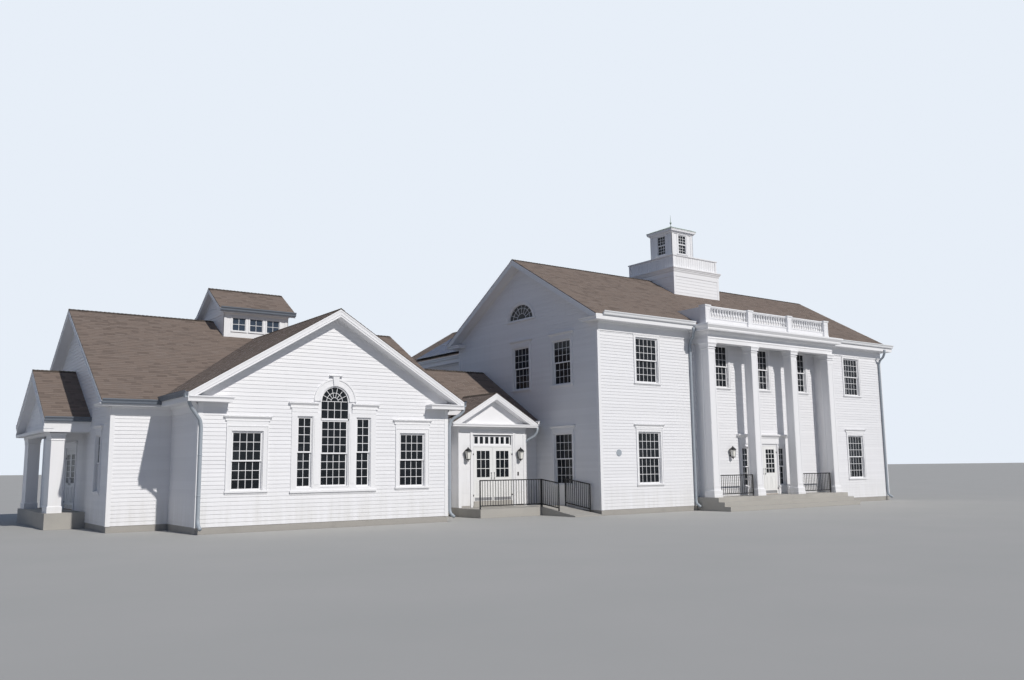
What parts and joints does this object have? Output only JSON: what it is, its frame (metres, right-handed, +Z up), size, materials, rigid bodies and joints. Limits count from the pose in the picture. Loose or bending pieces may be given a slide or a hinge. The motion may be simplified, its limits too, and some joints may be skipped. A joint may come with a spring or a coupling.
{
  "type": "town hall building",
  "caption": "White clapboard town hall with a gabled main block, tall square-pillared portico, roof balustrade, cupola, rear ell and a low gabled wing; its entrance doors open.",
  "frame": {"origin": "middle of the building's plan box, at the level ground it stands on", "axes": "+X along the front towards the main block's end, -Y is the front with the portico, +Z up"},
  "size_m": [37.66, 19.924, 14.39],
  "materials": {
    "clapboards": "painted",
    "white_trim": "painted",
    "shingles": "rough",
    "foundation_stone": "rough",
    "concrete": "rough",
    "floor_boards": "satin",
    "window_glass": "clear",
    "door_paint": "painted",
    "solar_cells": "gloss",
    "black_iron": "satin",
    "cap_metal": "satin"
  },
  "bodies": {
    "building": {"balustrade_cheeks": "white_trim", "cupola_base": "clapboards", "cupola_lantern": "clapboards", "cupola_parapet": "white_trim", "cupola_roof": "cap_metal", "door_hinges": "black_iron", "ell_roof": "shingles", "ell_wall_left": "clapboards", "ell_wall_rear": "clapboards", "ell_wall_right": "clapboards", "entrance_ramp": "concrete", "foundation": "foundation_stone", "ground_floor": "floor_boards", "landing_railing": "black_iron", "link_roof": "shingles", "link_walls": "clapboards", "main_cornice": "white_trim", "main_gable_left": "clapboards", "main_gable_right": "clapboards", "main_roof": "shingles", "main_wall_front": "clapboards", "main_wall_over_entrance": "clapboards", "main_wall_rear": "clapboards", "monitor_roof": "shingles", "monitor_walls": "clapboards", "porch_railings": "black_iron", "portico_balustrade": "white_trim", "portico_entablature": "white_trim", "portico_floor": "concrete", "portico_piers": "white_trim", "ramp_railing": "black_iron", "side_porch_entablature": "white_trim", "side_porch_floor": "concrete", "side_porch_piers": "white_trim", "side_porch_roof": "shingles", "solar_panels": "solar_cells", "upper_floor": "floor_boards", "vestibule_gable": "clapboards", "vestibule_pediment": "white_trim", "vestibule_roof": "shingles", "vestibule_walls": "clapboards", "wall_lanterns": "black_iron", "window_frames": "white_trim", "window_glass": "window_glass", "wing_cornice": "white_trim", "wing_cross_gable": "clapboards", "wing_cross_roof": "shingles", "wing_cross_sides": "clapboards", "wing_gable_right": "clapboards", "wing_roof": "shingles", "wing_wall_front": "clapboards", "wing_wall_left": "clapboards", "wing_wall_over_side_door": "clapboards", "wing_wall_rear": "clapboards"},
    "main_door_left_leaf": {"main_door_left": "door_paint"},
    "main_door_right_leaf": {"main_door_right": "door_paint"},
    "side_door_left_leaf": {"side_door_left": "door_paint"},
    "side_door_right_leaf": {"side_door_right": "door_paint"},
    "vestibule_door_left_leaf": {"vestibule_door_left": "door_paint"},
    "vestibule_door_right_leaf": {"vestibule_door_right": "door_paint"}
  },
  "joints": [
    {"name": "main_door_left_hinge", "type": "hinge", "parent": "building", "child": "main_door_left_leaf", "pos_m": [7.913, -8.208, 1.6], "axis": [0, 0, -1], "range_deg": [0, 90]},
    {"name": "main_door_right_hinge", "type": "hinge", "parent": "building", "child": "main_door_right_leaf", "pos_m": [9.667, -8.208, 1.6], "axis": [0, 0, 1], "range_deg": [0, 90]},
    {"name": "vestibule_door_left_hinge", "type": "hinge", "parent": "building", "child": "vestibule_door_left_leaf", "pos_m": [-4.322, -4.778, 1.6], "axis": [0, 0, -1], "range_deg": [0, 90]},
    {"name": "vestibule_door_right_hinge", "type": "hinge", "parent": "building", "child": "vestibule_door_right_leaf", "pos_m": [-2.498, -4.778, 1.6], "axis": [0, 0, 1], "range_deg": [0, 90]},
    {"name": "side_door_left_hinge", "type": "hinge", "parent": "building", "child": "side_door_left_leaf", "pos_m": [-17.41, 2.774, 1.6], "axis": [0, 0, -1], "range_deg": [0, 90]},
    {"name": "side_door_right_hinge", "type": "hinge", "parent": "building", "child": "side_door_right_leaf", "pos_m": [-17.41, 1.02, 1.6], "axis": [0, 0, 1], "range_deg": [0, 90]}
  ]
}
